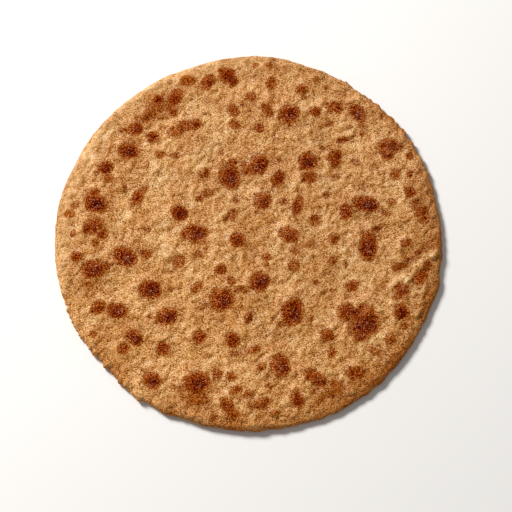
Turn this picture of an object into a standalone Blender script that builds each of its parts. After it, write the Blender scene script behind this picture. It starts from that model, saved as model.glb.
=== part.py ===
"""Bajra roti: a hand-patted round flatbread of pearl millet dough.

One closed body that lies on its flat underside, z = 0, with +Z up and the
origin under the middle of its outline. All sizes are in metres.

The section is a turned profile: a top that is slightly thicker in the middle,
a soft rounded shoulder, a short side wall and a small round under the edge.
The turned blank is then shaped the way hands shape the dough: the outline gets
its lobes, nicks and flats, the top its swells, finger ridges and dimples, and
the side wall its scallops. The underside stays flat, where the hot griddle
pressed it.
"""

import math

import bpy

# Section
RADIUS = 0.0900          # mean radius of the outline
THICKNESS = 0.0064       # at the middle
RIM_THICKNESS = 0.0056   # where the top meets the shoulder
SHOULDER_OUT = 0.0034    # how far in from the edge the top starts to round over
SHOULDER_DOWN = 0.0034   # how far down the side the rounding reaches
FOOT_IN = 0.0015         # the round under the edge
FOOT_UP = 0.0014

# Turning
SEGMENTS = 120
TOP_RINGS = 18
SHOULDER_STEPS = 4
FOOT_STEPS = 3
UNDERSIDE_RINGS = 2

# Relief of the top
SWELL = 0.00030          # broad thick and thin places
RIDGE = 0.00028          # finger ridges, strongest towards the lower right
RIDGE_LENGTH = 0.0125    # from one ridge to the next
RIDGE_BEARING = 33.0     # degrees, the way the ridges run
DIMPLE = 0.00018         # small lumps and hollows
SCALLOP = 0.00035        # uneven height of the rim

# Outline: each lobe or nick is (bearing in degrees, half width in degrees,
# height in metres), a bump on the mean circle; negative ones are nicks.
LOBES = (
    (5, 10, -0.0007),
    (35, 6, 0.0004),
    (87, 10, 0.0013),
    (110, 6, -0.0006),
    (133, 14, -0.0005),
    (156, 6, -0.0005),
    (170, 7, 0.0004),
    (209, 6, 0.0005),
    (222, 6, -0.0008),
    (236, 5, 0.0011),
    (255, 7, -0.0006),
    (305, 16, 0.0005),
    (336, 8, -0.0006),
)


def smooth(edge0, edge1, value):
    t = min(1.0, max(0.0, (value - edge0) / (edge1 - edge0)))
    return t * t * (3.0 - 2.0 * t)


def outline_offset(bearing):
    """How far the edge stands out from the mean circle at a bearing in degrees."""
    total = 0.0
    for centre, half_width, height in LOBES:
        away = (bearing - centre + 180.0) % 360.0 - 180.0
        total += height * math.exp(-((away / half_width) ** 2))
    return total


def ridges(x, y):
    """Shallow finger ridges that run from the lower left to the upper right."""
    turn = math.radians(RIDGE_BEARING)
    along = x * math.cos(turn) + y * math.sin(turn)
    across = -x * math.sin(turn) + y * math.cos(turn)
    wander = 0.9 * math.sin(along / 0.0105) + 0.6 * math.sin(along / 0.0061 + 2.0)
    wave = math.sin(2.0 * math.pi * across / RIDGE_LENGTH + wander)
    strength = 0.45 + 0.55 * smooth(-0.2, 0.7, (0.8 * x - 0.6 * y) / RADIUS)
    return RIDGE * strength * wave


def swells(x, y):
    """Places that the palm left a little thicker or thinner."""
    return SWELL * (
        0.5 * math.sin(x / 0.0125 + 0.6 * math.sin(y / 0.017) + 0.8)
        + 0.5 * math.sin(y / 0.0115 - 0.5 * math.sin(x / 0.015) + 2.1)
    )


def dimples(x, y):
    return DIMPLE * (
        math.sin(x / 0.0031 + 1.3 * math.sin(y / 0.0049))
        * math.sin(y / 0.0029 + 1.1 * math.sin(x / 0.0055 + 1.0))
    )


def rim_height(bearing):
    """The rim is thicker in some places than in others."""
    turn = math.radians(bearing)
    return SCALLOP * (
        0.55 * math.sin(3.0 * turn + 1.0)
        + 0.30 * math.sin(7.0 * turn + 0.4)
        + 0.25 * math.sin(13.0 * turn + 2.2)
    )


def section():
    """Half section as (radius, height), from the middle of the top round to the underside."""
    inner = RADIUS - SHOULDER_OUT
    points = []
    for i in range(TOP_RINGS + 1):
        r = inner * i / TOP_RINGS
        crown = (THICKNESS - RIM_THICKNESS) * (1.0 - (r / inner) ** 3)
        points.append((r, RIM_THICKNESS + crown))
    for i in range(1, SHOULDER_STEPS + 1):
        turn = math.pi / 2.0 * i / SHOULDER_STEPS
        points.append((
            inner + SHOULDER_OUT * math.sin(turn),
            RIM_THICKNESS - SHOULDER_DOWN * (1.0 - math.cos(turn)),
        ))
    for i in range(FOOT_STEPS + 1):
        turn = math.pi / 2.0 * i / FOOT_STEPS
        points.append((
            RADIUS - FOOT_IN * (1.0 - math.cos(turn)),
            FOOT_UP * (1.0 - math.sin(turn)),
        ))
    foot = RADIUS - FOOT_IN
    for i in range(1, UNDERSIDE_RINGS + 1):
        points.append((foot * (1.0 - i / UNDERSIDE_RINGS), 0.0))
    return points


def turned_blank(name, profile):
    """Turns the half section about Z with a Screw modifier and returns the mesh."""
    mesh = bpy.data.meshes.new(name + "_section")
    mesh.from_pydata(
        [(r, 0.0, z) for r, z in profile],
        [(i, i + 1) for i in range(len(profile) - 1)],
        [],
    )
    guide = bpy.data.objects.new(name + "_section", mesh)
    bpy.context.scene.collection.objects.link(guide)
    screw = guide.modifiers.new("turn", "SCREW")
    screw.axis = "Z"
    screw.angle = math.radians(360.0)
    screw.steps = SEGMENTS
    screw.render_steps = SEGMENTS
    screw.use_merge_vertices = True
    screw.merge_threshold = 0.00002
    bpy.context.view_layer.update()
    graph = bpy.context.evaluated_depsgraph_get()
    blank = bpy.data.meshes.new_from_object(guide.evaluated_get(graph))
    blank.name = name
    bpy.data.objects.remove(guide, do_unlink=True)
    bpy.data.meshes.remove(mesh)
    return blank


def shape_by_hand(mesh):
    """Moves the turned points: lobes on the outline, relief on the top, scallops on the rim."""
    for vertex in mesh.vertices:
        x, y, z = vertex.co
        r = math.hypot(x, y)
        bearing = math.degrees(math.atan2(y, x)) % 360.0
        share = min(1.0, z / RIM_THICKNESS)
        near_edge = smooth(0.55, 1.0, r / RADIUS)
        if r > 1e-6:
            stretch = 1.0 + outline_offset(bearing) * near_edge / r
            x, y = x * stretch, y * stretch
        inside = 1.0 - smooth(0.93, 1.0, r / RADIUS)
        relief = swells(x, y) + (ridges(x, y) + dimples(x, y)) * inside
        z += share * (relief + rim_height(bearing) * near_edge)
        vertex.co = (x, y, max(0.0, z))


def centre_outline(mesh):
    """Puts the middle of the outline's box over the origin."""
    xs = [v.co.x for v in mesh.vertices]
    ys = [v.co.y for v in mesh.vertices]
    dx, dy = (min(xs) + max(xs)) / 2.0, (min(ys) + max(ys)) / 2.0
    for vertex in mesh.vertices:
        vertex.co.x -= dx
        vertex.co.y -= dy


def crust_material():
    """Matte toasted millet crust."""
    material = bpy.data.materials.new("roti_crust")
    material.use_nodes = True
    shader = material.node_tree.nodes["Principled BSDF"]
    shader.inputs["Base Color"].default_value = (0.47, 0.20, 0.065, 1.0)
    shader.inputs["Roughness"].default_value = 0.88
    shader.inputs["Metallic"].default_value = 0.0
    material.diffuse_color = (0.47, 0.20, 0.065, 1.0)
    return material


def main():
    for obj in list(bpy.data.objects):
        bpy.data.objects.remove(obj, do_unlink=True)

    collection = bpy.data.collections.new("Bajra roti")
    bpy.context.scene.collection.children.link(collection)

    mesh = turned_blank("roti", section())
    shape_by_hand(mesh)
    centre_outline(mesh)
    mesh.shade_smooth()
    mesh.materials.clear()
    mesh.materials.append(crust_material())
    roti = bpy.data.objects.new("roti", mesh)
    collection.objects.link(roti)


main()
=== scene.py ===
"""Bajra roti: the looks.

One fine closed mesh stands for the roti. Its section, outline and swells are the
ones of the solid, and on top of them come the finger ridges, lumps, pits, packed
grain and raised griddle blisters, all as geometry. The colours follow vertex
attributes (how toasted, how charred, how deep, which way a flank faces the key
light) and fine procedural noise; some of them paint light and shade into the
colour: a highlight beside each blister, shade in the hollows and grooves, on the
lumps' far flanks, the lower-right rim and the side wall.

Lengths inside the shape functions are millimetres; the mesh is made in metres.
"""

import math

import bpy
import numpy as np
from mathutils import Matrix, Vector


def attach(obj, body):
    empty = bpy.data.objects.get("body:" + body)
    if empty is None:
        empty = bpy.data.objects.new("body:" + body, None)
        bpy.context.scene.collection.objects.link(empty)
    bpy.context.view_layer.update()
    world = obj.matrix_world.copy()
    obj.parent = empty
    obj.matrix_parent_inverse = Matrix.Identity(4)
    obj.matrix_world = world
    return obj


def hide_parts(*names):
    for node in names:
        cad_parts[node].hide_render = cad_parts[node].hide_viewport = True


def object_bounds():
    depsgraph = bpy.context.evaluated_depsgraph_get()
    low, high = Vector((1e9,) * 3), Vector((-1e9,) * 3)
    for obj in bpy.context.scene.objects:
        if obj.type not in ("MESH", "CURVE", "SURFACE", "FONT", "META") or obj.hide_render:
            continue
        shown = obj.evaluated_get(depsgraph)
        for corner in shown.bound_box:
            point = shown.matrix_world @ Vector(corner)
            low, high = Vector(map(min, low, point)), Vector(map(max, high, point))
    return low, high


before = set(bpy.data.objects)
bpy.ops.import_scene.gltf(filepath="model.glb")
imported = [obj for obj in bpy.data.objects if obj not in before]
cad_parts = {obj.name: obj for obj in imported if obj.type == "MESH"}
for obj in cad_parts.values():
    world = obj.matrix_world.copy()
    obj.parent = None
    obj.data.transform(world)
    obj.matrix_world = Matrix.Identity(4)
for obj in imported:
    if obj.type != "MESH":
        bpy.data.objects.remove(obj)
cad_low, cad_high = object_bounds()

# ---------------------------------------------------------------- section, mm
RADIUS = 90.0
THICKNESS = 6.4
RIM_THICKNESS = 5.6
SHOULDER_OUT = 3.4
SHOULDER_DOWN = 3.4
FOOT_IN = 1.5
FOOT_UP = 1.4
SWELL = 0.30
SCALLOP = 0.35
LOWERED = 0.82           # the ground between ridges and blisters, below the solid's mean top

# Mesh rows
TOP_RINGS = 152          # each ring k has 6k points, about 0.57 mm apart
EDGE_ROWS = 14           # shoulder, side wall and foot
UNDER_RINGS = 67

# Lobes and nicks of the outline: bearing and half width in degrees, height in mm
LOBES = (
    (5, 10, -0.7), (14, 3, -0.5), (35, 5, 0.4), (54, 4, -0.3), (80, 4, 0.3),
    (87, 10, 1.2), (110, 5, -0.5), (133, 14, -0.5), (156, 6, -0.5),
    (170, 7, 0.4), (190, 8, 0.2), (202, 4, -0.3), (209, 5, 0.6),
    (222, 6, -0.8), (235, 3.5, 1.2), (245, 3, 0.6), (251, 4, -0.6),
    (262, 3, -0.4), (291, 4, 0.3), (305, 14, 0.5), (334, 7, -0.5),
    (345, 3, 0.9), (350, 3, -0.7),
)

# ---------------------------------------------------------------- camera
CAMERA_TARGET = (3.18, -8.9, 3.5)
CAMERA_DISTANCE = 655.4
CAMERA_ELEVATION = 74.5
LENS, SENSOR, SIDE = 100.0, 36.0, 512


# ---------------------------------------------------------------- noise
class Perlin:
    """Gradient noise in three dimensions, about -1 to 1, seeded."""

    def __init__(self, seed):
        rng = np.random.RandomState(seed)
        self.order = np.tile(rng.permutation(256), 3)
        slopes = rng.normal(size=(256, 3))
        self.slopes = slopes / np.linalg.norm(slopes, axis=1, keepdims=True)

    def __call__(self, points):
        cell = np.floor(points).astype(np.int64)
        f = points - cell
        cell &= 255
        w = f * f * f * (f * (f * 6 - 15) + 10)
        total = np.zeros(len(points))
        for dx in (0, 1):
            for dy in (0, 1):
                for dz in (0, 1):
                    h = self.order[self.order[self.order[cell[:, 0] + dx] + cell[:, 1] + dy] + cell[:, 2] + dz]
                    dot = ((f - (dx, dy, dz)) * self.slopes[h]).sum(1)
                    total += dot * (w[:, 0] if dx else 1 - w[:, 0]) * (w[:, 1] if dy else 1 - w[:, 1]) * (w[:, 2] if dz else 1 - w[:, 2])
        return total * 1.7


def layered(seed, points, octaves=3, gain=0.5):
    """Perlin noise summed over octaves, about -1 to 1."""
    total, size, weight = 0.0, 1.0, 1.0
    norm = 0.0
    for i in range(octaves):
        total = total + weight * Perlin(seed + i)(points * size + 17.3 * i)
        norm += weight
        size *= 2.03
        weight *= gain
    return total / norm


def smooth(edge0, edge1, value):
    t = np.clip((value - edge0) / (edge1 - edge0), 0, 1)
    return t * t * (3 - 2 * t)


def packed(seed, u, v, pitch, low=0.55, high=1.0):
    """Height of packed round grains, 0 to 1: each cell of a grid holds one, off its middle."""
    rng = np.random.RandomState(seed)
    n = 512
    ox, oy, size = rng.rand(n, n), rng.rand(n, n), low + (high - low) * rng.rand(n, n)
    gu, gv = u / pitch, v / pitch
    iu, iv = np.floor(gu).astype(int), np.floor(gv).astype(int)
    best = np.zeros(len(u))
    for du in (-1, 0, 1):
        for dv in (-1, 0, 1):
            a, b = (iu + du) % n, (iv + dv) % n
            cx, cy = iu + du + 0.15 + 0.7 * ox[a, b], iv + dv + 0.15 + 0.7 * oy[a, b]
            d2 = ((gu - cx) ** 2 + (gv - cy) ** 2) / (0.75 * size[a, b]) ** 2
            best = np.maximum(best, size[a, b] * np.sqrt(np.clip(1 - d2, 0, 1)))
    return best


# ---------------------------------------------------------------- form
def outline_offset(bearing):
    total = np.zeros_like(bearing)
    for centre, half_width, height in LOBES:
        away = (bearing - centre + 180.0) % 360.0 - 180.0
        total += height * np.exp(-((away / half_width) ** 2))
    return total


def edge_nibbles(theta):
    """Small uneven steps of the edge, mm, coarser and crumblier at the lower left."""
    ring = np.stack([np.cos(theta), np.sin(theta), np.zeros_like(theta)], 1) * RADIUS
    bearing = np.degrees(theta)
    crumbly = smooth(30, 10, np.abs((bearing - 222 + 180) % 360 - 180)) + 0.6 * smooth(32, 15, np.abs(bearing - 42))
    steps = 0.26 * layered(81, ring / 6.5, 2, 0.5) + (0.18 + 0.22 * crumbly) * layered(85, ring / 2.6, 2, 0.6)
    rolled = smooth(85, 55, np.abs((bearing + 20 + 180) % 360 - 180))
    scallops = 1.3 * (np.abs(layered(83, ring / 7.0, 1)) - 0.3)     # round bumps with narrow nicks between them
    crumbs = 2.3 * (np.abs(layered(87, ring / 3.0, 1)) - 0.3)
    return steps * (1 + 0.8 * crumbly) + scallops * rolled + crumbs * crumbly


def outline_middle():
    """The middle of the outline's box, which is where the origin goes."""
    bearing = np.arange(0, 360, 0.25)
    r = RADIUS + outline_offset(bearing)
    x, y = r * np.cos(np.radians(bearing)), r * np.sin(np.radians(bearing))
    return (x.min() + x.max()) / 2, (y.min() + y.max()) / 2


MIDDLE = outline_middle()


def camera_pose():
    """Place, right, up and back of the camera in mm, with the outline's middle at the origin."""
    tilt = math.radians(CAMERA_ELEVATION)
    back = np.array([0.0, -math.cos(tilt), math.sin(tilt)])
    target = np.array(CAMERA_TARGET) - (MIDDLE[0], MIDDLE[1], 0.0)
    right = np.array([1.0, 0.0, 0.0])
    return target + back * CAMERA_DISTANCE, right, np.cross(back, right), back


def on_top(px, py, height=6.6):
    """The point of the roti's top, in mm, that shows at a pixel of the 512 x 512 frame."""
    place, right, up, back = camera_pose()
    focal = LENS / SENSOR * SIDE
    ray = (px - SIDE / 2) / focal * right - (py - SIDE / 2) / focal * up - back
    return (place + ray * (height - place[2]) / ray[2])[:2]


def swells(x, y):
    """x and y in mm; the same broad thick and thin places as the solid's."""
    x, y = x + MIDDLE[0], y + MIDDLE[1]
    return SWELL * (
        0.5 * np.sin(x / 12.5 + 0.6 * np.sin(y / 17.0) + 0.8)
        + 0.5 * np.sin(y / 11.5 - 0.5 * np.sin(x / 15.0) + 2.1)
    )


def rim_height(bearing):
    turn = np.radians(bearing)
    return SCALLOP * (
        0.55 * np.sin(3.0 * turn + 1.0)
        + 0.30 * np.sin(7.0 * turn + 0.4)
        + 0.25 * np.sin(13.0 * turn + 2.2)
    )


def edge_section(rows):
    """Shoulder, wall and foot as rows of (radius, height, out, up) at even steps along the section."""
    fine = []
    inner = RADIUS - SHOULDER_OUT
    for i in range(201):
        turn = math.pi / 2 * i / 200
        fine.append((inner + SHOULDER_OUT * math.sin(turn), RIM_THICKNESS - SHOULDER_DOWN * (1 - math.cos(turn)), math.sin(turn), math.cos(turn)))
    for i in range(201):
        turn = math.pi / 2 * i / 200
        fine.append((RADIUS - FOOT_IN * (1 - math.cos(turn)), FOOT_UP * (1 - math.sin(turn)), math.cos(turn), -math.sin(turn)))
    fine = np.array(fine)
    run = np.concatenate([[0], np.cumsum(np.hypot(*np.diff(fine[:, :2], axis=0).T))])
    at = np.linspace(0, run[-1], rows + 1)[1:]
    return np.stack([np.interp(at, run, fine[:, k]) for k in range(4)], 1)


def rings_of_section():
    """Every ring of the mesh as (points in it, radius, height, out, up, along), top middle to underside middle.
    along runs from 0 on the top, 1 at the shoulder's start, 2 at the foot's end, to 3 under the middle."""
    inner = RADIUS - SHOULDER_OUT
    rings = [(1, 0.0, THICKNESS, 0.0, 1.0, 0.0)]
    for k in range(1, TOP_RINGS + 1):
        r = inner * k / TOP_RINGS
        z = RIM_THICKNESS + (THICKNESS - RIM_THICKNESS) * (1 - (r / inner) ** 3)
        rings.append((6 * k, r, z, 0.0, 1.0, k / TOP_RINGS))
    for i, (r, z, out, up) in enumerate(edge_section(EDGE_ROWS)):
        rings.append((6 * TOP_RINGS, r, z, out, up, 1 + (i + 1) / EDGE_ROWS))
    foot = RADIUS - FOOT_IN
    for k in range(UNDER_RINGS, 0, -1):
        rings.append((6 * k, foot * k / (UNDER_RINGS + 1), 0.0, 0.0, -1.0, 3 - k / (UNDER_RINGS + 1)))
    rings.append((1, 0.0, 0.0, 0.0, -1.0, 3.0))
    return rings


def zipped(a, n_a, b, n_b):
    """Triangles between ring a and the next ring b, whose points lie at even angles from zero."""
    if n_a == 1:
        return [(a, b + i, b + (i + 1) % n_b) for i in range(n_b)]
    if n_b == 1:
        return [(a + i, b, a + (i + 1) % n_a) for i in range(n_a)]
    found, i, j = [], 0, 0
    while i < n_a or j < n_b:
        if j < n_b and (i >= n_a or (j + 1) * n_a <= (i + 1) * n_b):
            found.append((a + i % n_a, b + j % n_b, b + (j + 1) % n_b))
            j += 1
        else:
            found.append((a + i % n_a, b + j % n_b, a + (i + 1) % n_a))
            i += 1
    return found


# ---------------------------------------------------------------- griddle spots
# Each spot, read off an enlarged photo with a ruled grid: x, y of its dark
# middle in the 512 frame, half width and half height in the same pixels, turn in
# steps of 15 degrees, and how burnt it is, 1 faint to 9 darkest.
SPOTS = (
    # far left
    (188, 80, 8, 6, 0, 4), (176, 96, 8, 6, 60, 6), (158, 99, 5, 4, 0, 5), (153, 110, 14, 9, 45, 1),
    (174, 112, 4, 4, 0, 5), (136, 129, 7, 6, 30, 7), (125, 130, 6, 4, 0, 3), (153, 137, 6, 6, 15, 7),
    (176, 131, 9, 5, 15, 5), (128, 151, 10, 8, 15, 8), (160, 154, 6, 4, -30, 4), (175, 155, 6, 4, 0, 3),
    (105, 168, 8, 7, 0, 8), (107, 178, 7, 5, 0, 4), (186, 125, 8, 5, 0, 5), (196, 124, 6, 5, 75, 7),
    # far middle
    (208, 82, 9, 6, 60, 6), (229, 76, 10, 7, -60, 7), (222, 70, 4, 3, 0, 4), (272, 83, 7, 5, 90, 5),
    (251, 96, 6, 5, 15, 5), (302, 89, 7, 5, 15, 5), (305, 97, 4, 3, 0, 4), (234, 110, 7, 6, -45, 5),
    (235, 124, 5, 5, 45, 5), (244, 104, 4, 4, 0, 2), (268, 110, 8, 5, -60, 4), (289, 114, 11, 9, 45, 8),
    (260, 128, 5, 5, 30, 5), (233, 163, 6, 5, 15, 5), (230, 177, 12, 10, -75, 8), (259, 164, 11, 9, 75, 8),
    (247, 171, 6, 5, -45, 4), (244, 164, 5, 4, 0, 3), (204, 173, 6, 5, 30, 4), (308, 161, 9, 9, 0, 8),
    (309, 177, 8, 6, 15, 6), (279, 179, 9, 6, 75, 7),
    # far right
    (316, 111, 6, 5, 0, 6), (335, 107, 8, 6, -30, 6), (358, 112, 10, 7, -75, 8), (330, 123, 5, 4, 0, 3),
    (344, 139, 6, 4, 15, 4), (390, 146, 12, 8, 0, 8), (388, 155, 6, 5, 0, 8), (336, 158, 9, 6, 75, 6),
    (357, 162, 5, 4, 60, 3), (396, 174, 6, 5, 60, 5), (411, 173, 4, 3, 75, 5), (411, 156, 4, 4, 0, 4),
    # left
    (94, 193, 6, 5, 0, 5), (95, 203, 11, 9, -30, 9), (138, 197, 11, 5, 60, 6), (145, 189, 5, 3, 30, 4),
    (70, 214, 6, 5, 0, 4), (93, 226, 10, 7, 30, 6), (102, 235, 6, 4, 60, 4), (73, 233, 4, 3, 75, 3),
    (147, 229, 5, 3, 0, 3), (96, 243, 4, 5, 0, 3), (125, 257, 12, 9, -30, 9), (146, 254, 6, 5, 0, 5),
    (76, 257, 5, 5, 0, 6), (93, 269, 12, 9, 0, 8), (179, 262, 8, 6, 75, 4), (180, 213, 8, 7, 0, 8),
    (150, 290, 11, 9, 0, 9), (98, 308, 8, 6, 45, 6), (117, 311, 10, 7, 0, 8),
    # middle
    (207, 193, 7, 5, 15, 3), (233, 215, 7, 5, 75, 3), (263, 201, 9, 8, 60, 7), (298, 206, 10, 5, 75, 6),
    (284, 201, 5, 4, 0, 3), (315, 221, 6, 5, 45, 4), (195, 234, 13, 9, 0, 8), (238, 240, 7, 7, 0, 7),
    (289, 235, 10, 7, -15, 7), (267, 258, 5, 4, 30, 5), (221, 270, 6, 5, 30, 5), (232, 281, 5, 4, -60, 5),
    (295, 266, 6, 6, 0, 4), (197, 288, 7, 5, 45, 5), (260, 282, 10, 9, 60, 9), (222, 300, 12, 11, -75, 8),
    (223, 303, 8, 6, 0, 9), (241, 290, 7, 4, 0, 3), (293, 312, 14, 10, 75, 8),
    # right
    (411, 192, 6, 5, -60, 6), (421, 211, 14, 7, -60, 4), (367, 204, 12, 8, -15, 9), (347, 212, 8, 6, 75, 7),
    (392, 202, 5, 4, 0, 4), (334, 239, 6, 5, 45, 5), (369, 246, 15, 9, 90, 8), (377, 229, 5, 4, 30, 2),
    (407, 243, 6, 4, 30, 5), (334, 260, 6, 4, 30, 4), (399, 267, 9, 4, 15, 3), (421, 277, 9, 6, 45, 5),
    (428, 267, 6, 4, 60, 4), (353, 286, 6, 5, 30, 6), (402, 291, 8, 7, 45, 7), (397, 297, 5, 3, 30, 4),
    (402, 312, 7, 7, 0, 7),
    # near left
    (167, 317, 11, 8, 30, 9), (134, 338, 9, 7, -45, 8), (124, 349, 6, 5, 30, 6), (93, 335, 4, 4, 75, 4),
    (163, 349, 7, 6, 0, 7), (152, 381, 9, 8, -45, 8),
    # near middle
    (249, 318, 6, 4, 75, 4), (200, 338, 7, 6, 60, 6), (233, 340, 7, 7, 0, 7), (254, 351, 8, 4, 15, 4),
    (281, 366, 12, 9, -75, 8), (262, 367, 5, 4, 30, 4), (316, 378, 11, 6, -30, 7), (197, 383, 13, 10, 15, 8),
    (196, 399, 13, 7, 0, 3), (218, 374, 5, 4, -60, 4), (231, 377, 5, 5, 0, 5), (237, 391, 7, 4, 30, 4),
    (249, 395, 5, 4, 30, 4), (228, 406, 8, 6, -45, 7), (234, 415, 7, 4, 0, 3), (261, 404, 11, 5, 15, 4),
    (298, 400, 8, 6, -60, 6),
    # near right
    (347, 312, 9, 8, 30, 7), (353, 311, 5, 4, 0, 9), (366, 323, 18, 14, 60, 8), (374, 322, 8, 6, 75, 9),
    (358, 326, 7, 6, 45, 9), (363, 336, 7, 5, 15, 8), (364, 308, 6, 4, 0, 6), (357, 315, 5, 4, 0, 8),
    (328, 336, 7, 6, -60, 6), (333, 353, 5, 4, 60, 6), (391, 339, 6, 5, -75, 4), (375, 351, 7, 4, -15, 3),
    (355, 373, 10, 6, 0, 4),
    # small flecks
    (146, 120, 4, 3, 0, 3), (205, 113, 3, 2, 0, 2), (222, 153, 4, 3, 0, 2), (277, 140, 4, 3, 0, 2),
    (280, 159, 3, 4, 0, 2), (363, 124, 3, 4, 0, 2), (352, 127, 3, 3, 0, 2), (363, 133, 4, 3, 0, 2),
    (324, 147, 4, 3, 0, 1), (336, 177, 5, 4, 0, 3), (326, 87, 4, 3, 0, 2), (343, 93, 5, 3, 0, 1),
    (89, 284, 5, 3, 0, 2), (172, 290, 3, 3, 0, 2), (125, 186, 3, 4, 0, 1), (75, 204, 6, 5, 0, 1),
    (108, 266, 5, 4, 0, 2), (200, 199, 4, 3, 0, 3), (225, 218, 3, 4, 0, 2), (237, 201, 4, 3, 0, 2),
    (260, 213, 6, 3, 0, 1), (203, 243, 4, 3, 0, 3), (294, 251, 5, 3, 0, 3), (199, 254, 4, 4, 0, 2),
    (206, 249, 3, 2, 0, 2), (266, 265, 4, 3, 0, 2), (327, 195, 4, 4, 0, 2), (387, 213, 5, 4, 0, 1),
    (347, 265, 3, 3, 0, 2), (316, 283, 4, 3, 0, 3), (333, 291, 3, 3, 0, 2), (150, 317, 3, 3, 0, 2),
    (174, 387, 4, 3, 0, 1), (234, 354, 5, 3, 0, 2), (275, 414, 5, 3, 30, 3), (213, 420, 4, 3, 0, 2),
    (312, 319, 3, 4, 0, 3), (281, 325, 4, 3, 0, 2), (270, 386, 5, 3, 0, 2), (406, 326, 4, 3, 0, 2),
    (336, 384, 6, 5, 0, 2), (322, 385, 4, 4, 0, 3), (314, 392, 4, 3, 0, 2), (256, 64, 4, 3, 0, 3),
    (269, 64, 4, 3, 0, 2), (317, 78, 4, 3, 0, 2),
)
SPOT_SHIFT = (-0.7, -0.7)   # from the dark middle of a spot to the middle of its blister, pixels
BURN = (0, 0.23, 0.31, 0.42, 0.53, 0.63, 0.72, 0.82, 0.93, 1.0)  # colour value for each grade
PIXEL = 0.4633  # mm for each pixel of the frame, on the roti

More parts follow.
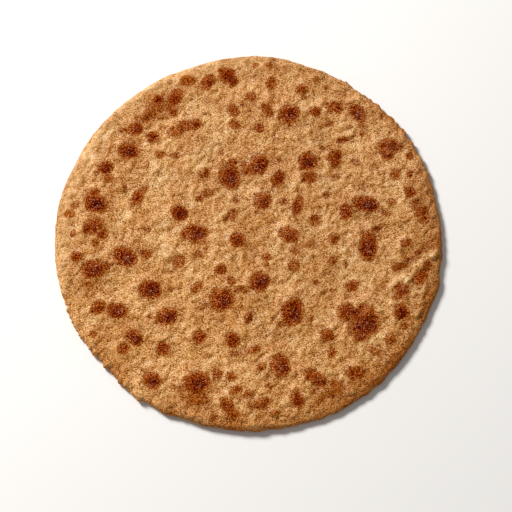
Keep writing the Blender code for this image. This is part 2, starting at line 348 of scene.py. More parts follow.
# Broad soft patches of the ground, as the spots: x, y, half width, half height, turn,
# browner (positive) or paler (negative).
PATCHES = (
    (168, 106, 20, 9, 20, 0.15), (137, 121, 9, 6, 35, 0.16), (133, 158, 8, 9, 0, 0.13),
    (116, 182, 9, 7, 0, 0.11), (104, 226, 8, 15, 0, 0.12), (88, 285, 16, 9, -10, 0.18),
    (200, 305, 6, 5, 0, 0.14), (237, 353, 8, 6, 0, 0.18), (217, 373, 6, 8, 0, 0.18),
    (334, 388, 11, 9, 0, 0.12), (416, 256, 24, 4, 40, 0.20),
    (432, 262, 5, 6, 0, 0.14), (409, 321, 7, 8, 0, 0.13), (389, 352, 9, 7, 0, 0.13),
    (212, 412, 38, 8, -10, 0.14), (338, 392, 34, 6, 27, 0.18), (86, 193, 7, 8, 0, 0.15),
    (274, 191, 7, 6, 0, 0.11),
    (378, 231, 7, 7, 0, 0.14), (295, 247, 8, 7, 0, 0.12), (283, 68, 12, 5, 0, 0.13),
    (273, 412, 14, 5, 0, 0.13), (346, 104, 9, 6, 0, 0.11),
    (364, 128, 7, 7, 0, 0.10), (181, 391, 8, 6, 0, 0.12),
    (60, 240, 6, 20, 0, 0.06), (420, 182, 8, 10, 0, 0.10), (430, 330, 14, 24, -30, 0.05),
    (289, 383, 9, 5, 0, -0.13), (283, 222, 7, 9, 0, -0.13),
    (388, 300, 7, 9, 40, -0.10), (391, 287, 5, 5, 0, -0.14), (358, 146, 10, 6, 20, -0.18),
    (363, 358, 8, 6, 40, -0.12),
    (282, 259, 9, 8, 0, -0.12), (166, 146, 9, 8, 0, -0.11), (200, 165, 9, 9, 0, -0.11),
    (63, 254, 6, 8, 0, -0.11),
    (289, 183, 6, 8, 0, -0.11), (91, 157, 6, 8, 40, -0.12),
    (379, 333, 9, 13, -30, -0.12),
    (422, 263, 20, 5, 42, -0.08), (163, 256, 10, 7, 20, -0.12),
    (125, 211, 6, 8, 0, -0.10), (112, 128, 10, 4, 52, -0.10),
    (78, 314, 12, 14, 0, 0.04), (90, 215, 6, 8, 0, 0.09), (215, 70, 18, 5, 0, 0.10),
    (185, 87, 9, 6, 0, 0.09), (150, 95, 8, 6, 30, 0.11), (133, 142, 7, 6, 0, 0.10),
    (265, 240, 8, 7, 0, 0.10), (310, 245, 7, 6, 0, 0.10), (265, 254, 6, 5, 0, 0.07),
    (360, 182, 9, 7, 20, 0.10), (425, 210, 8, 10, 0, 0.04), (105, 326, 8, 6, 0, 0.09),
    (235, 390, 10, 8, 0, 0.09), (190, 192, 6, 15, 0, -0.13), (205, 236, 8, 7, 0, -0.10),
    (149, 259, 8, 6, 0, -0.08), (265, 140, 9, 7, 0, -0.10), (281, 154, 7, 6, 0, -0.08),
    (310, 289, 9, 7, 20, -0.12), (400, 247, 6, 4, 40, -0.06), (380, 309, 6, 6, 0, -0.11),
    (330, 131, 9, 6, 0, -0.10), (160, 107, 26, 14, 30, 0.10), (428, 300, 6, 26, -12, 0.08),
    (404, 348, 24, 5, 48, 0.08),
    # small ones
    (206, 98, 7, 5, 0, 0.16), (270, 66, 6, 4, 0, 0.12), (130, 141, 8, 6, 30, 0.12), (154, 134, 6, 5, 0, 0.08),
    (172, 182, 6, 8, -30, 0.15), (186, 186, 6, 6, 0, 0.08), (112, 204, 8, 6, 0, 0.12), (156, 206, 6, 6, 0, 0.11),
    (134, 228, 6, 8, 0, 0.09), (202, 254, 6, 5, 0, 0.11), (126, 274, 5, 5, 0, 0.12),
    (230, 288, 7, 4, 20, 0.11), (224, 236, 5, 6, 0, 0.08), (264, 230, 7, 8, 0, 0.10), (260, 216, 7, 4, 0, 0.09),
    (282, 244, 5, 5, 0, 0.11), (312, 244, 11, 6, 0, 0.18), (266, 260, 6, 5, 0, 0.08), (354, 270, 6, 6, 0, 0.13),
    (370, 276, 8, 5, 0, 0.09), (344, 180, 4, 6, 0, 0.12), (366, 185, 7, 5, 30, 0.14), (420, 168, 5, 6, 0, 0.15),
    (412, 154, 4, 5, 0, 0.12), (390, 136, 8, 5, 0, 0.06), (288, 132, 9, 5, -20, 0.08), (314, 304, 7, 5, 0, 0.14),
    (264, 332, 9, 4, 0, 0.12), (248, 336, 6, 4, 20, 0.08), (204, 355, 10, 4, 10, 0.13), (232, 364, 6, 5, 0, 0.13),
    (268, 376, 5, 7, 0, 0.11), (354, 354, 6, 5, 0, 0.15), (396, 334, 6, 6, 0, 0.10), (208, 390, 9, 5, 0, 0.13),
    (238, 400, 8, 4, 0, 0.14), (186, 310, 7, 4, 30, 0.10), (156, 306, 8, 4, 0, 0.06), (320, 392, 9, 6, 0, 0.08),
    (288, 414, 8, 4, 0, 0.10), (144, 372, 6, 5, 0, 0.06),
    (296, 156, 7, 7, 0, -0.10), (246, 130, 6, 6, 0, -0.11), (214, 163, 7, 6, 0, -0.10), (192, 165, 6, 7, 0, -0.09),
    (228, 198, 6, 6, 40, -0.09), (222, 216, 5, 5, 0, -0.06), (186, 223, 9, 4, 0, -0.08), (158, 266, 8, 10, 0, -0.11),
    (210, 288, 6, 6, 0, -0.12), (224, 260, 8, 5, 0, -0.08), (412, 276, 6, 5, 30, -0.14), (428, 286, 4, 8, 0, -0.10),
    (400, 292, 7, 5, 0, -0.06), (378, 311, 7, 6, 0, -0.08), (336, 313, 5, 5, 0, -0.12), (316, 336, 6, 7, 0, -0.10),
    (276, 354, 7, 5, 0, -0.10), (232, 351, 7, 4, 0, -0.12), (182, 377, 6, 6, 0, -0.10), (90, 282, 7, 5, 0, -0.10),
    (360, 144, 8, 7, 0, -0.10), (394, 132, 8, 4, 30, -0.06), (338, 86, 8, 5, 20, -0.06), (268, 90, 6, 8, 0, -0.08),
    (158, 405, 7, 4, 0, -0.08), (226, 412, 9, 4, 0, -0.10), (280, 406, 9, 4, 30, -0.07), (286, 188, 5, 6, 0, -0.06),
    (332, 234, 6, 6, 40, -0.08), (294, 275, 7, 6, 40, -0.06), (134, 359, 7, 5, 0, -0.09), (366, 354, 6, 5, 0, -0.06),
    (140, 311, 7, 4, 0, -0.06), (128, 118, 8, 4, 0, -0.06), (92, 340, 6, 5, 0, -0.06),
    (297, 124, 8, 7, 0, 0.10), (305, 166, 5, 6, 0, 0.12), (302, 188, 5, 4, 0, 0.15),
    (385, 212, 5, 4, 0, 0.13), (392, 251, 7, 5, 0, 0.13), (316, 227, 8, 4, 35, 0.13), (265, 249, 6, 4, 35, 0.10),
    (357, 190, 8, 7, 0, 0.07), (73, 205, 6, 5, 0, 0.12), (150, 168, 5, 6, 0, 0.10), (171, 187, 6, 5, 0, 0.09),
    (237, 202, 4, 4, 0, 0.14), (185, 85, 12, 6, 0, 0.06), (211, 98, 6, 4, 0, 0.08), (97, 327, 8, 4, 0, 0.20),
    (85, 335, 5, 6, 0, 0.11), (149, 312, 5, 6, 0, 0.10), (182, 350, 4, 5, 0, 0.10), (127, 290, 6, 4, 0, 0.10),
    (351, 356, 4, 5, 0, 0.13), (336, 381, 5, 4, 0, 0.13), (345, 393, 12, 3, 35, 0.11), (180, 390, 8, 4, 0, 0.08),
    (146, 392, 7, 4, 0, 0.10), (192, 416, 8, 4, 0, 0.11), (421, 165, 4, 7, 0, 0.13), (405, 310, 5, 4, 0, 0.10),
    (432, 212, 4, 6, 0, 0.09),
    (162, 107, 6, 5, 0, -0.09), (189, 170, 5, 8, 0, -0.13), (195, 205, 5, 14, 0, -0.09), (286, 272, 9, 8, 0, -0.10),
    (324, 292, 5, 5, 0, -0.13), (379, 309, 7, 7, 0, -0.11), (372, 338, 6, 5, 0, -0.13), (405, 277, 6, 5, 0, -0.12),
    (431, 283, 4, 7, 0, -0.10), (397, 221, 5, 7, 0, -0.13), (116, 121, 6, 4, 0, -0.09), (413, 207, 5, 8, 0, -0.09),
    (135, 303, 6, 4, 0, -0.10), (220, 290, 5, 8, 0, -0.05),
    (230, 388, 4, 4, 0, 0.13), (188, 391, 6, 4, 0, 0.08), (148, 189, 5, 4, 0, 0.10), (318, 218, 5, 6, 35, 0.10),
    (345, 134, 5, 4, 0, 0.09), (290, 128, 7, 4, 0, 0.08),
    (218, 322, 8, 9, 0, -0.09), (195, 163, 7, 5, 0, -0.09),
    (111, 364, 8, 5, -45, -0.12), (318, 319, 6, 6, 0, -0.07),
    (84, 256, 7, 5, 0, -0.10), (85, 308, 8, 8, 0, -0.11), (127, 312, 8, 6, 0, -0.12), (121, 303, 6, 4, 0, -0.08),
    (195, 225, 5, 12, 0, -0.08), (168, 221, 6, 5, 0, -0.07), (118, 168, 8, 5, 0, -0.07), (88, 165, 6, 5, 0, -0.06),
    (197, 318, 5, 4, 0, -0.07), (300, 290, 6, 6, 30, -0.07), (398, 254, 6, 7, 30, -0.10), (104, 225, 6, 7, 0, -0.06),
    (436, 280, 4, 9, 0, -0.10), (428, 302, 4, 7, 0, -0.06), (115, 374, 9, 5, -45, -0.10), (335, 402, 10, 4, 30, -0.08),
    (298, 109, 5, 6, 0, 0.12), (270, 117, 5, 5, 0, 0.11), (320, 180, 5, 4, 0, 0.12), (390, 213, 5, 4, 0, 0.13),
    (236, 174, 12, 8, 0, 0.08), (212, 180, 7, 5, 0, 0.09), (359, 178, 6, 5, 30, 0.08), (115, 264, 7, 7, 0, 0.09),
    (182, 346, 5, 4, 0, 0.10), (380, 278, 9, 4, 0, 0.09), (417, 308, 4, 6, 0, 0.11), (254, 345, 5, 4, 0, 0.11),
    (138, 143, 6, 4, 0, 0.12), (156, 180, 5, 5, 0, 0.08), (150, 95, 6, 4, 30, 0.08), (328, 215, 4, 8, 30, 0.07),
    (245, 396, 8, 6, 0, 0.07), (345, 120, 5, 7, 30, 0.07), (128, 340, 8, 7, 0, 0.06), (196, 103, 8, 6, 0, 0.08),
    (405, 238, 9, 10, 0, -0.07), (402, 283, 6, 5, 0, -0.06), (200, 400, 10, 5, 0, 0.06), (170, 174, 8, 7, 0, 0.05),
    (99, 215, 5, 12, 0, -0.05),
)


# Finger ridges and grooves read from the photo: x, y of both ends, half width in
# the same pixels, height in mm (grooves are negative).
RIDGES = (
    (409, 276, 438, 251, 6.5, 0.44), (397, 271, 436, 240, 5.0, -0.40),
    (388, 257, 403, 245, 3.0, 0.24), (392, 286, 407, 275, 3.0, 0.22),
    (353, 356, 380, 335, 3.5, 0.36), (347, 351, 372, 329, 3.0, -0.16),
    (170, 335, 193, 324, 3.5, 0.20), (252, 359, 272, 347, 5.0, 0.22),
    (323, 405, 346, 394, 3.5, 0.26), (346, 394, 375, 375, 3.5, 0.28),
    (375, 375, 392, 352, 3.5, 0.26), (317, 401, 342, 389, 3.0, -0.16),
    (420, 318, 408, 340, 3.0, 0.22), (262, 340, 292, 326, 3.5, 0.16),
    (300, 262, 330, 246, 3.5, 0.18), (206, 318, 236, 303, 3.5, 0.18),
    (96, 330, 126, 316, 3.5, 0.18), (214, 144, 250, 120, 4.5, 0.18),
    (140, 178, 170, 160, 3.5, 0.16), (318, 186, 350, 172, 3.5, 0.18),
    (382, 226, 402, 206, 3.5, 0.22), (376, 232, 396, 212, 3.0, -0.16),
    (312, 344, 340, 322, 3.0, 0.20), (306, 338, 334, 316, 3.0, -0.14),
)


def placed(points, top_share, row, reach):
    """The points near a spot or patch of a table: which they are, their place in it in half sizes
    and how far they lie towards the lower right, -1 to 1 across it."""
    px, py, half_w, half_h, turn = row[:5]
    cx, cy = on_top(px, py)
    a, b = half_w * PIXEL * 1.03, half_h * PIXEL * 1.05
    x, y = points[:, 0], points[:, 1]
    far = reach * max(a, b)
    near = np.flatnonzero((np.abs(x - cx) < far) & (np.abs(y - cy) < far) & (top_share > 0))
    t = math.radians(turn)
    dx, dy = x[near] - cx, y[near] - cy
    u = (dx * math.cos(t) + dy * math.sin(t)) / a
    v = (-dx * math.sin(t) + dy * math.cos(t)) / b
    return near, np.hypot(u, v), np.clip((dx - dy) / (a + b), -1.5, 1.5), min(a, b)


def off_centre(plain, low, lean):
    """Distance, in half sizes, from a point that lies lean towards the lower right of the middle."""
    return np.sqrt(np.clip(plain ** 2 - 2.83 * lean * low + lean ** 2, 0, None))


def spot_fields(points, top_share):
    """burn, painted highlight and blister height over the given points (mm)."""
    burn, painted_highlight, blister = (np.zeros(len(points)) for _ in range(3))
    ragged = layered(301, points / 1.4, 2, 0.6)
    broad = layered(311, points / 4.0, 2, 0.5)
    for row in SPOTS:
        grade = row[5]
        wide = 1.02 if grade >= 8 else 1.08 if grade >= 6 else 1.04 if grade >= 4 else 0.98
        row = (row[0] + SPOT_SHIFT[0], row[1] + SPOT_SHIFT[1], row[2] * wide, row[3] * wide) + row[4:]
        near, plain, low, size = placed(points, top_share, row, 2.6)
        rough = min(1.0, size / 3.0)
        uneven = (0.05 + 0.06 * rough) * ragged[near] + 0.15 * broad[near]
        # The dark core sits off towards the lower right, away from the key light: charred colour with painted shade on
        # the blister's shaded side.
        lean = 0.33 if grade >= 8 else 0.22 if grade >= 6 else 0.14
        toasted = smooth(1.28, 0.60, plain + uneven)
        core = smooth(1.02, 0.12, off_centre(plain, low, lean) + 0.5 * uneven)
        spot = BURN[grade] * (0.70 * toasted + 0.30 * core)
        burn[near] = 1 - (1 - burn[near]) * (1 - spot) if grade < 4 else np.maximum(burn[near], spot)
        skirt = (0.06 if grade >= 8 or grade < 4 else 0.03) * smooth(2.1, 1.2, plain + 0.25 * broad[near]) * rough
        burn[near] = np.maximum(burn[near], skirt)
        # A paler ring on the upper-left side of each spot, towards the key light: a painted highlight on the blister's
        # lit flank.
        ring = np.exp(-((plain + 0.1 * broad[near] - 1.6) / 0.32) ** 2) * np.clip(-low, 0, 1) * BURN[grade] * rough
        painted_highlight[near] = np.maximum(painted_highlight[near], ring)
        dome = smooth(1.9, 0.15, plain + 0.08 * ragged[near]) * min(1.0, size / 3.2)
        blister[near] = np.maximum(blister[near], (0.16 + 0.045 * grade) * dome)
    return burn * top_share, painted_highlight * top_share * (1 - burn), blister * top_share


def patch_field(points, top_share):
    """Broad soft browner (positive) and paler (negative) places."""
    total = np.zeros(len(points))
    broad = layered(331, points / 3.0, 3, 0.6)
    for row in PATCHES:
        near, plain, low, size = placed(points, top_share, row, 2.0)
        total[near] += row[5] * smooth(1.6, 0.1, plain + 0.35 * broad[near])
    return total * top_share


def ridge_field(points, top_share):
    """Height in mm of the finger ridges and grooves in the table."""
    x, y = points[:, 0], points[:, 1]
    total = np.zeros(len(points))
    wander = layered(321, points / 4.0, 2, 0.5)
    for x0, y0, x1, y1, half, height in RIDGES:
        a, b = np.array(on_top(x0, y0)), np.array(on_top(x1, y1))
        span = np.hypot(*(b - a))
        w = half * PIXEL
        mid = (a + b) / 2
        near = np.flatnonzero(((x - mid[0]) ** 2 + (y - mid[1]) ** 2 < (span / 2 + 4 * w) ** 2) & (top_share > 0))
        d = (b - a) / span
        along = (x[near] - mid[0]) * d[0] + (y[near] - mid[1]) * d[1]
        across = -(x[near] - mid[0]) * d[1] + (y[near] - mid[1]) * d[0] + 1.3 * w * wander[near]
        total[near] += height * np.exp(-((across / w) ** 2)) * smooth(span / 2 + 2.0 * w, span / 2 - 2.0 * w, np.abs(along))
    return total * top_share


# ---------------------------------------------------------------- relief
def ridged(seed, points):
    """Noise with sharp crests, about -1 to 1."""
    return 1 - 2 * np.abs(layered(seed, points, 2, 0.5)) * 1.6


def diagonal(points, bearing, stretch):
    """Points turned so that the first axis runs along the bearing, which is squeezed by stretch."""
    t = math.radians(bearing)
    along = points[:, 0] * math.cos(t) + points[:, 1] * math.sin(t)
    across = -points[:, 0] * math.sin(t) + points[:, 1] * math.cos(t)
    return np.stack([along / stretch, across, points[:, 2]], 1)


def build_roti():
    rings = rings_of_section()
    starts = np.concatenate([[0], np.cumsum([r[0] for r in rings])])
    theta = np.concatenate([2 * math.pi * np.arange(r[0]) / r[0] for r in rings])
    counts = [r[0] for r in rings]
    radius, height, out, up, along = (np.repeat([r[k] for r in rings], counts) for k in range(1, 6))
    bearing = np.degrees(theta)

    near_edge = smooth(0.55, 1.0, radius / RADIUS)
    nibbles = edge_nibbles(theta) * smooth(0.93, 0.985, radius / RADIUS)
    r = radius + outline_offset(bearing) * near_edge + nibbles
    base = np.stack([r * np.cos(theta) - MIDDLE[0], r * np.sin(theta) - MIDDLE[1], height], 1)
    normal = np.stack([out * np.cos(theta), out * np.sin(theta), up], 1)

    right = smooth(105, 60, np.abs((bearing + 20 + 180) % 360 - 180))  # where the rim is smooth and rolled
    uneven = 0.10 * layered(65, base / 3.0, 2, 0.5)
    top = smooth(1.75 - 0.35 * right, 1.15 - 0.17 * right, along + uneven)  # 1 on the top, 0 from the lower wall on
    wall = smooth(1.15 - 0.12 * right, 1.6, along + uneven) * smooth(2.1, 1.9, along)
    under = smooth(1.85, 2.05, along)
    share = np.clip(height / RIM_THICKNESS, 0, 1)
    x, y = base[:, 0], base[:, 1]

    burn, painted_highlight, blister = spot_fields(base, top)
    below = smooth(1.9, 2.1, along)
    mirrored = np.stack([-0.40 * x - 0.917 * y, -0.917 * x + 0.40 * y, base[:, 2]], 1)
    burn_below, painted_highlight_below, _ = spot_fields(mirrored, below)
    burn, painted_highlight = burn + burn_below, painted_highlight + painted_highlight_below
    finger = ridge_field(base, top)
    # Ridges are painted paler and grooves browner: painted light on the crests and painted shade in the grooves.
    patch = patch_field(base, top) + 0.7 * patch_field(mirrored, below) - 0.26 * finger

    warped = base + 1.5 * np.stack([layered(91, base / 6.0, 2, 0.5), layered(93, base / 6.0, 2, 0.5), np.zeros(len(base))], 1)
    big = layered(11, diagonal(warped, 36.0, 1.12) / 6.0, 2, 0.5)
    crest = ridged(15, diagonal(warped, 33.0, 1.3) / 8.0)
    mid = layered(21, diagonal(base, 38.0, 1.05) / 3.2, 2, 0.45)
    halves = layered(31, warped / 5.8, 2, 0.45)
    puff = 1.7 * np.abs(halves) ** 0.8 - 0.75       # round domes, narrow creases where the noise crosses zero
    spread = layered(35, base / 13.0, 2, 0.5)
    fine = layered(41, diagonal(base, 40.0, 1.15) / 1.5, 2, 0.6)
    grain = packed(51, x, y, 1.25)
    crease = smooth(0.12, 0.0, np.abs(halves)) * smooth(-0.2, 0.35, layered(47, base / 6.0, 2, 0.5))
    pits = smooth(0.15, 0.75, layered(43, base / 1.9, 1)) * (1 - 0.5 * burn)
    dust = np.random.RandomState(55).normal(size=len(base)).clip(-2, 2)
    lower_right = smooth(-0.3, 0.8, (0.8 * x - 0.6 * y) / RADIUS)
    # Paler band along the upper-left rim, on the side facing the key light: partly its smoother crust, partly painted
    # light.
    pale = smooth(0.86, 0.97, radius / RADIUS) * smooth(75, 40, np.abs((bearing - 138 + 180) % 360 - 180))
    rolled = smooth(0.96, 0.985, radius / RADIUS) * smooth(85, 55, np.abs((bearing + 20 + 180) % 360 - 180))
    calm = 0.55 * np.maximum(pale, rolled)

    relief = (
        (0.78 + 0.16 * lower_right) * big
        + (0.08 + 0.10 * lower_right) * crest
        + 0.54 * mid
        + 0.84 * puff
        - 0.12 * crease
        - 0.22 * (1 - calm) * pits
        + (1 - calm) * (1 - 0.35 * burn) * (0.08 * fine + 0.03 * (grain - 0.5) + 0.05 * dust)
        + finger
        + blister
        - 0.5 * patch
    )
    right_rim = smooth(75, 40, np.abs((bearing - 335 + 180) % 360 - 180))
    broad = swells(x, y) + rim_height(bearing) * near_edge - 1.3 * right_rim * np.clip((radius / RADIUS - 0.875) / 0.125, 0, 1) ** 2.5
    side = 0.22 * layered(61, base / np.array([6.0, 6.0, 3.0]), 2, 0.5) + 0.05 * fine

    z_share = share * (1 - under)
    points = base.copy()
    points[:, 2] += z_share * (broad - LOWERED) * (1 - 0.5 * wall)
    points += normal * (top * relief + wall * side)[:, None]

    # The underside rests on its high spots and hollows up a little between them.
    hollow = 0.18 * np.clip(layered(71, base / 7.0, 2, 0.5) + 0.1, 0, None) + 0.06 * np.clip(layered(75, base / 2.6, 2, 0.5), 0, None)
    points[:, 2] = np.where(along >= 2.0, hollow, np.maximum(points[:, 2], 0.0))

    # Keep inside the solid's box.
    low, high = np.array(cad_low) * 1000, np.array(cad_high) * 1000
    for k in (0, 1):
        lo, hi = points[:, k].min(), points[:, k].max()
        points[:, k] = (points[:, k] - (lo + hi) / 2) * min(1.0, (high[k] - low[k]) / (hi - lo)) + (low[k] + high[k]) / 2
    ceiling = high[2] - 0.02
    over = np.clip(points[:, 2] - (ceiling - 0.3), 0, None)
    points[:, 2] -= over - 0.3 * (1 - np.exp(-over / 0.3))

    faces = []
    for i in range(len(rings) - 1):
        faces += zipped(int(starts[i]), rings[i][0], int(starts[i + 1]), rings[i + 1][0])
    faces = np.array(faces, np.int32)

    # How far each point faces the key light; the colour takes a painted tint of light and shade from it.
    corners = points[faces]
    face_normal = np.cross(corners[:, 1] - corners[:, 0], corners[:, 2] - corners[:, 0])
    facing = np.stack([sum(np.bincount(faces[:, c], face_normal[:, k], len(points)) for c in range(3)) for k in range(3)], 1)
    facing /= np.linalg.norm(facing, axis=1, keepdims=True)
    painted_light_flank = facing[:, 0] * math.cos(math.radians(138)) + facing[:, 1] * math.sin(math.radians(138))

    mesh = bpy.data.meshes.new("roti_crust")
    mesh.vertices.add(len(points))
    mesh.vertices.foreach_set("co", (points * 0.001).astype(np.float32).ravel())
    mesh.loops.add(faces.size)
    mesh.loops.foreach_set("vertex_index", faces.ravel())
    mesh.polygons.add(len(faces))
    mesh.polygons.foreach_set("loop_start", np.arange(0, faces.size, 3, dtype=np.int32))
    mesh.update(calc_edges=True)
    mesh.validate()
    mesh.shade_smooth()

    def attribute(name, values):
        layer = mesh.attributes.new(name, "FLOAT", "POINT")
        layer.data.foreach_set("value", values.astype(np.float32))

    attribute("burn", burn)
    attribute("painted_highlight", painted_highlight)
    # The rim is painted browner, most at the lower right away from the key light: a toasted rim with painted shade
    # added on the shaded side.
    lower_rim = smooth(58, 22, np.abs(bearing - 330)) * smooth(0.956, 0.976, radius / RADIUS)
    attribute("patch", patch + ((0.02 + 0.035 * right_rim) * smooth(0.80, 0.92, radius / RADIUS) * (1 - pale) + 0.21 * lower_rim) * (1 - under))
    # Browner rim, strongest at the lower right away from the key light: partly toasted crust, partly painted shade
    # warmed as by bounce light.
    low_rim = smooth(120, 75, np.abs((bearing - 305 + 180) % 360 - 180))
    crumb_zone = smooth(42, 22, np.abs((bearing - 224 + 180) % 360 - 180))
    attribute("rim", smooth(0.895, 0.985, radius / RADIUS) * (0.10 + 0.90 * low_rim) * (1 - under) * (1 - 0.5 * crumb_zone))
    # Higher places get a paler colour and lower ones, creases and pits a darker one: painted shade in the hollows.
    low_spots = 0.34 * big + 0.26 * mid + 0.36 * puff - 0.25 * crease + (1 - calm) * (0.08 * fine - 0.55 * pits) + 0.09
    attribute("depth", np.clip(0.5 + (1 - 0.5 * burn) * low_spots, 0, 1))
    attribute("spread", np.clip(0.5 + 0.60 * spread, 0, 1))
    attribute("calm", calm * (1 - under))
    # Painted light and shade: a tint by how far each flank faces the key light.
    attribute("painted_light_flank", 0.5 + np.clip(painted_light_flank, -0.5, 0.5) * top * smooth(0.98, 0.93, radius / RADIUS))
    attribute("warm", smooth(35.0, -75.0, y))
    # A thin pale line along the upper-left edge, towards the key light: a painted highlight.
    attribute("edge", smooth(0.965, 0.99, radius / RADIUS) * smooth(75, 45, np.abs((bearing - 128 + 180) % 360 - 180)) * (1 - under))
    # Paler upper-left rim: partly its own colour, partly painted light.
    attribute("pale", pale * (1 - under))
    # The side wall is painted golden-brown, less so on the side facing the key light: its toasted side with painted
    # shade on top.
    far_wall = smooth(100, 65, np.abs((bearing - 128 + 180) % 360 - 180))
    attribute("wall", wall * (1 - 0.55 * crumb_zone) * (1 - 0.6 * far_wall))
    attribute("under", under)
    print("roti: %d vertices, %d triangles, top %.2f mm" % (len(points), len(faces), points[:, 2].max()))
    roti = bpy.data.objects.new("roti_crust", mesh)
    bpy.context.scene.collection.objects.link(roti)
    return roti


# ---------------------------------------------------------------- material
class Tree:
    """Short ways to add and join shader nodes."""

    def __init__(self, name):
        self.material = bpy.data.materials.new(name)
        self.material.use_nodes = True
        self.nodes = self.material.node_tree.nodes
        self.links = self.material.node_tree.links
        self.shader = self.nodes["Principled BSDF"]

    def put(self, socket, value):
        if isinstance(value, bpy.types.NodeSocket):
            self.links.new(value, socket)
        else:
            socket.default_value = value

    def add(self, kind, **inputs):
        node = self.nodes.new(kind)
        for key, value in inputs.items():
            self.put(node.inputs[key.replace("_", " ")], value)
        return node

    def value(self, name):
        node = self.nodes.new("ShaderNodeAttribute")
        node.attribute_name = name
        return node.outputs["Fac"]

    def math(self, how, a, b=0.0, clamp=False):
        node = self.nodes.new("ShaderNodeMath")
        node.operation = how
        node.use_clamp = clamp
        self.put(node.inputs[0], a)
        self.put(node.inputs[1], b)
        return node.outputs[0]

    def span(self, value, low, high, to_low=0.0, to_high=1.0):
        node = self.nodes.new("ShaderNodeMapRange")
        node.interpolation_type = "SMOOTHSTEP"
        for key, given in zip(("Value", "From Min", "From Max", "To Min", "To Max"), (value, low, high, to_low, to_high)):
            self.put(node.inputs[key], given)
        return node.outputs[0]

    def mix(self, share, a, b, how="MIX"):
        node = self.nodes.new("ShaderNodeMix")
        node.data_type = "RGBA"
        node.blend_type = how
        self.put(node.inputs["Factor"], share)
        self.put(node.inputs[6], a)
        self.put(node.inputs[7], b)
        return node.outputs[2]

    def noise(self, where, scale, detail=2.0, rough=0.5):
        node = self.nodes.new("ShaderNodeTexNoise")
        self.put(node.inputs["Vector"], where)
        node.inputs["Scale"].default_value = scale
        node.inputs["Detail"].default_value = detail
        node.inputs["Roughness"].default_value = rough
        return node.outputs["Fac"]

    def cells(self, where, scale):
        """Distance to the middle of a cell, in cells, and one random tone for each cell."""
        node = self.nodes.new("ShaderNodeTexVoronoi")
        self.put(node.inputs["Vector"], where)
        node.inputs["Scale"].default_value = scale
        split = self.nodes.new("ShaderNodeSeparateColor")
        self.put(split.inputs[0], node.outputs["Color"])
        return node.outputs["Distance"], split.outputs[0]

    def ramp(self, value, stops):
        node = self.nodes.new("ShaderNodeValToRGB")
        self.put(node.inputs[0], value)
        elements = node.color_ramp.elements
        elements[0].position, elements[1].position = stops[0][0], stops[-1][0]
        elements[0].color, elements[1].color = srgb(*stops[0][1]), srgb(*stops[-1][1])
        for place, colour in stops[1:-1]:
            elements.new(place).color = srgb(*colour)
        return node.outputs[0]

    def gamma(self, colour, power):
        node = self.nodes.new("ShaderNodeGamma")
        self.put(node.inputs[0], colour)
        node.inputs[1].default_value = power
        return node.outputs[0]

    def shifted(self, colour, *amounts):
        """The colour made lighter or darker by a step in each display channel."""
        grey = self.nodes.new("ShaderNodeCombineColor")
        for socket, amount in zip(grey.inputs, amounts):
            self.put(socket, amount)
        sum_ = self.mix(1.0, self.gamma(colour, 1 / 2.2), grey.outputs[0], "ADD")
        sum_.node.clamp_result = True
        return self.gamma(sum_, 2.2)

    def turned(self, where, degrees, scale):
        node = self.nodes.new("ShaderNodeMapping")
        self.put(node.inputs["Vector"], where)
        node.inputs["Rotation"].default_value = (0, 0, math.radians(degrees))
        node.inputs["Scale"].default_value = scale
        return node.outputs[0]


def srgb(r, g, b, gain=1.0):
    """A colour given as 0 to 255 sRGB, as linear RGBA."""
    def one(c):
        c /= 255.0
        return gain * (c / 12.92 if c <= 0.04045 else ((c + 0.055) / 1.055) ** 2.4)
    return (one(r), one(g), one(b), 1.0)


# How much each scale lightens and darkens the colour, as a share of white
TONE_DEPTH = 0.178
TONE_SPREAD = 0.195
TONE_SAND = 0.125
TONE_FLOUR = 0.185
TONE_GRAIN = 0.10
TONE_FLECK = 0.05
TONE_PIT = 0.08
TONE_BURNT = 0.34        # that much more of it where the crust is burnt

# The crust from unburnt to darkest, as it should look in the light
BROWNING = (
    (0.0, (200, 143, 85)), (0.155, (183, 120, 60)), (0.30, (163, 96, 39)), (0.40, (158, 89, 33)),
    (0.51, (153, 80, 29)), (0.61, (146, 69, 22)), (0.71, (133, 53, 13)), (0.81, (119, 40, 6)),
    (0.91, (106, 28, 4)), (1.0, (94, 20, 3)),
)
LIT = 1.04               # how much brighter the light makes a colour than it is given


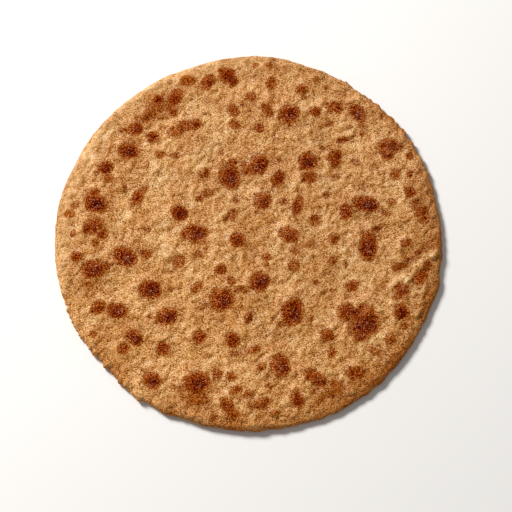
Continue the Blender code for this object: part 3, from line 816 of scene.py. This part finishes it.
def crust_material():
    t = Tree("millet_crust")
    where = t.nodes.new("ShaderNodeTexCoord").outputs["Object"]
    streak = t.turned(where, -38, (0.62, 1.0, 1.0))
    sand = t.noise(streak, 2200, 0.0, 0.5)      # grain of about half a millimetre
    flour = t.noise(where, 2900, 0.0, 0.5)
    patch = t.noise(where, 60, 3.0, 0.5)
    patch2 = t.noise(t.turned(where, 20, (1, 1, 1)), 95, 3.0, 0.5)
    middle, tint = t.cells(streak, 2800)        # single flour grains

    burn, painted_highlight, brown = t.value("burn"), t.value("painted_highlight"), t.value("patch")
    depth, wall, rim, calm = t.value("depth"), t.value("wall"), t.value("rim"), t.value("calm")
    spread, warm, painted_edge_highlight = t.value("spread"), t.value("warm"), t.value("edge")
    pale = t.value("pale")
    rough = t.math("SUBTRACT", 1.0, t.math("MULTIPLY", calm, 0.7))

    core = t.span(middle, 0.55, 0.12)           # 1 in the middle of a grain
    fleck = t.math("MULTIPLY", t.span(tint, 0.62, 0.95), core)
    pit = t.math("MULTIPLY", t.span(tint, 0.38, 0.05), core)
    grit = t.math("ADD", t.math("MULTIPLY", t.span(sand, 0.25, 0.75, -1.0, 1.0), 0.6), t.math("SUBTRACT", fleck, pit))

    def lit(*rgb):
        return srgb(*(c / LIT for c in rgb))

    # The crust between the spots: golden, with paler and greyer places
    colour = t.mix(t.math("MULTIPLY", t.span(patch, 0.46, 0.64), 0.50), lit(210, 154, 93), lit(208, 161, 107))
    colour = t.mix(t.math("MULTIPLY", t.span(patch2, 0.50, 0.68), 0.50), colour, lit(211, 149, 86))
    # Painted highlight: a paler ring beside each spot on the side towards the key light.
    colour = t.mix(t.math("MULTIPLY", painted_highlight, 0.70), colour, lit(229, 165, 108))
    # Browner rim at the lower right: partly toasted, partly painted shade.
    colour = t.mix(t.math("MULTIPLY", rim, 0.55), colour, lit(178, 108, 42))
    # Paler upper-left rim, facing the key light: partly its own colour, partly painted light.
    colour = t.mix(t.math("MULTIPLY", pale, 0.65), colour, lit(212, 164, 112))
    # Painted highlight: a pale line along the upper-left edge.
    colour = t.mix(t.math("MULTIPLY", painted_edge_highlight, 0.45), colour, lit(214, 171, 128))
    # Golden-brown side wall, less of it on the side facing the key light: partly its toasted side, partly painted
    # shade.
    colour = t.mix(t.math("MULTIPLY", wall, 0.75), colour, lit(178, 106, 44))

    # Browning, which the grains break up
    amount = t.math("ADD", burn, t.math("MULTIPLY", t.math("MAXIMUM", brown, 0.0), 0.9))
    edge = t.math("MULTIPLY", t.span(amount, 0.0, 0.35), t.span(amount, 1.0, 0.5, 0.4, 1.0))
    amount = t.math("SUBTRACT", amount, t.math("MULTIPLY", t.math("MULTIPLY", grit, edge), 0.03))
    browned = t.ramp(amount, [(place, tuple(c / LIT for c in rgb)) for place, rgb in BROWNING])
    colour = t.mix(t.span(amount, 0.0, 0.20), colour, browned)

    # Higher places paler, lower ones, creases and pits darker: painted shade in the hollows; flecks and pits of single
    # grains
    low = t.math("MULTIPLY", t.math("SUBTRACT", depth, 0.5), TONE_DEPTH)
    tone = t.math("MULTIPLY", t.math("SUBTRACT", spread, 0.5), TONE_SPREAD)
    paler = t.math("MULTIPLY", t.math("MINIMUM", brown, 0.0), -0.45)
    fine = t.math("MULTIPLY", t.span(sand, 0.25, 0.75, -1.0, 1.0), TONE_SAND)
    fine = t.math("ADD", fine, t.math("MULTIPLY", t.span(flour, 0.25, 0.75, -1.0, 1.0), TONE_FLOUR))
    fine = t.math("ADD", fine, t.math("MULTIPLY", t.math("SUBTRACT", tint, 0.5), TONE_GRAIN))
    fine = t.math("ADD", fine, t.math("MULTIPLY", fleck, TONE_FLECK))
    fine = t.math("SUBTRACT", fine, t.math("MULTIPLY", pit, TONE_PIT))
    fine = t.math("MULTIPLY", fine, t.math("ADD", 1.0, t.math("MULTIPLY", burn, TONE_BURNT)))
    lean = t.math("SUBTRACT", t.math("MULTIPLY", burn, 2.1), 1.6)   # darker pits in pale crust, lighter flecks in burnt crust
    fine = t.math("MULTIPLY", fine, rough)
    deep = t.span(amount, 0.15, 0.80)           # burnt crust has hardly any blue left
    painted_light_flank = t.math("SUBTRACT", t.value("painted_light_flank"), 0.5)   # painted light and shade: less red and more blue on the flank facing the key light, redder on the other

    def channel(broad_share, paler_share, low_share, fine_share, fine_more, less, warmer, painted_light_share):
        share = t.math("ADD", fine_share, t.math("MULTIPLY", burn, fine_more))
        step = t.math("ADD", t.math("MULTIPLY", low, low_share), t.math("MULTIPLY", fine, share))
        step = t.math("MULTIPLY", step, t.math("ADD", 1.0, t.math("MULTIPLY", step, lean)))
        step = t.math("ADD", step, t.math("ADD", t.math("MULTIPLY", tone, broad_share), t.math("MULTIPLY", paler, paler_share)))
        step = t.math("ADD", step, t.math("ADD", t.math("MULTIPLY", warm, warmer), t.math("MULTIPLY", painted_light_flank, painted_light_share)))
        return t.math("SUBTRACT", step, t.math("MULTIPLY", deep, less))

    colour = t.shifted(
        colour,
        channel(0.86, 0.86, 0.97, 0.93, -0.06, 0.0, 0.010, -0.090),
        channel(1.05, 1.09, 1.00, 1.04, 0.0, 0.042, -0.001, 0.016),
        channel(1.08, 1.08, 1.10, 1.36, -0.10, 0.176, -0.017, 0.120),
    )
    t.put(t.shader.inputs["Base Color"], colour)

    t.put(t.shader.inputs["Roughness"], t.span(sand, 0.2, 0.8, 0.95, 0.82))
    t.shader.inputs["Specular IOR Level"].default_value = 0.01

    height = t.math("ADD", t.math("MULTIPLY", t.span(sand, 0.25, 0.75), 0.45), t.math("MULTIPLY", flour, 0.20))
    height = t.math("ADD", height, t.math("MULTIPLY", core, t.math("MULTIPLY", t.math("SUBTRACT", tint, 0.4), 0.7)))
    bump = t.nodes.new("ShaderNodeBump")
    bump.inputs["Strength"].default_value = 0.78
    bump.inputs["Distance"].default_value = 0.00042
    t.put(bump.inputs["Height"], t.math("MULTIPLY", height, rough))
    t.put(t.shader.inputs["Normal"], bump.outputs[0])
    return t.material


# ---------------------------------------------------------------- stage
def make_floor():
    mesh = bpy.data.meshes.new("floor")
    s = 3.0
    mesh.from_pydata([(-s, -s, -0.0001), (s, -s, -0.0001), (s, s, -0.0001), (-s, s, -0.0001)], [], [(0, 1, 2, 3)])
    floor = bpy.data.objects.new("floor", mesh)
    bpy.context.scene.collection.objects.link(floor)
    material = bpy.data.materials.new("pale_floor")
    material.use_nodes = True
    shader = material.node_tree.nodes["Principled BSDF"]
    shader.inputs["Base Color"].default_value = (0.88, 0.87, 0.86, 1)
    shader.inputs["Roughness"].default_value = 0.9
    mesh.materials.append(material)


def make_light(name, bearing, elevation, distance, size, power, colour=(1, 1, 1)):
    a, e = math.radians(bearing), math.radians(elevation)
    place = Vector((math.cos(a) * math.cos(e), math.sin(a) * math.cos(e), math.sin(e))) * distance
    light = bpy.data.lights.new(name, "AREA")
    light.shape = "DISK"
    light.size = size
    light.energy = power
    light.color = colour
    lamp = bpy.data.objects.new(name, light)
    lamp.location = place
    lamp.rotation_euler = (-place).to_track_quat("-Z", "Y").to_euler()
    bpy.context.scene.collection.objects.link(lamp)


def make_camera():
    place, right, up, back = camera_pose()
    data = bpy.data.cameras.new("camera")
    data.lens, data.sensor_width, data.sensor_fit = LENS, SENSOR, "HORIZONTAL"
    data.clip_start, data.clip_end = 0.01, 20.0
    camera = bpy.data.objects.new("camera", data)
    turn = Matrix((right, up, back)).transposed().to_4x4()
    camera.matrix_world = Matrix.Translation(Vector(place) * 0.001) @ turn
    bpy.context.scene.collection.objects.link(camera)
    bpy.context.scene.camera = camera


make_camera()
roti = build_roti()
roti.data.materials.append(crust_material())
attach(roti, "root")
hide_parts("roti")

make_floor()
make_light("key", 138, 42, 1.30, 0.40, 22.5, (1.0, 0.985, 0.96))
world = bpy.data.worlds.new("studio")
world.use_nodes = True
world.node_tree.nodes["Background"].inputs[0].default_value = (1.0, 0.98, 0.95, 1)
world.node_tree.nodes["Background"].inputs[1].default_value = 0.26
bpy.context.scene.world = world
bpy.context.scene.view_settings.view_transform = "Standard"
